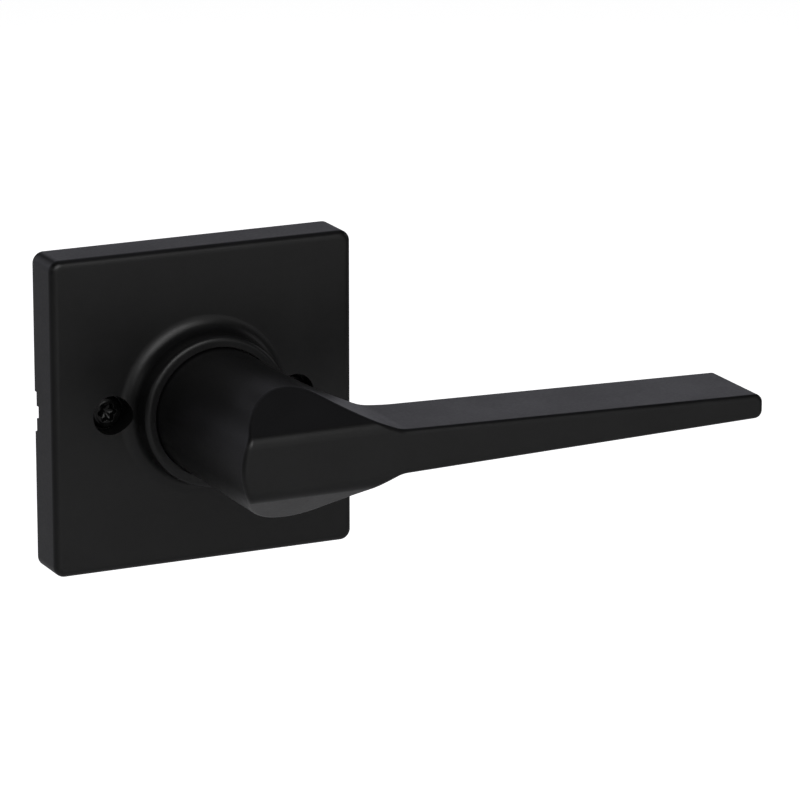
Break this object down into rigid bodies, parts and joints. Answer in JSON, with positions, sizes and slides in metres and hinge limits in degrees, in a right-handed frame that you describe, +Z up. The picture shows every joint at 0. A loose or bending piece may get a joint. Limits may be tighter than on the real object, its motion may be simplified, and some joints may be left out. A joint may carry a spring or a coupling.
{
  "type": "door lever handle",
  "caption": "Satin black door lever on a square rose, inside half of a tubular set, with a sprung chassis, through-screws and a square spindle behind.",
  "frame": {"origin": "on the spindle axis, in the plane of the door's face that the rose seats on, midway between the two through-screws", "axes": "+Y into the door along the spindle, +X along the lever's blade at rest, +Z up"},
  "size_m": [0.135, 0.105, 0.066],
  "materials": {
    "black_paint": "satin black powder coat on die-cast zinc",
    "black_screw": "black-coated steel",
    "nylon": "natural nylon",
    "black_nylon": "black bearing nylon",
    "zinc_plated_steel": "zinc-plated pressed steel",
    "bright_steel": "turned steel",
    "spring_steel": "oiled spring steel"
  },
  "bodies": {
    "trim": {"rose": "black_paint", "collar_bushing": "black_nylon", "mounting_plate": "zinc_plated_steel", "plate_screws": "zinc_plated_steel", "thrust_washer": "nylon", "driver_washer": "nylon", "spring_cage": "zinc_plated_steel", "cage_rivets": "zinc_plated_steel", "stop_pins": "bright_steel", "hub_bushing": "nylon", "return_spring": "spring_steel", "mounting_screws": "black_screw"},
    "handle": {"lever": "black_paint", "drive_hub": "bright_steel", "lever_set_screw": "black_screw", "spring_driver": "zinc_plated_steel", "spring_washer": "spring_steel", "retaining_ring": "spring_steel", "spindle": "zinc_plated_steel", "spindle_pin": "spring_steel"}
  },
  "joints": [
    {"name": "lever_turn", "type": "hinge", "parent": "trim", "child": "handle", "pos_m": [0, 0, 0], "axis": [0, 1, 0], "range_deg": [-45, 45], "stiffness_Nm_per_rad": 2, "springref_deg": -1.5, "deforming": ["return_spring"]}
  ]
}
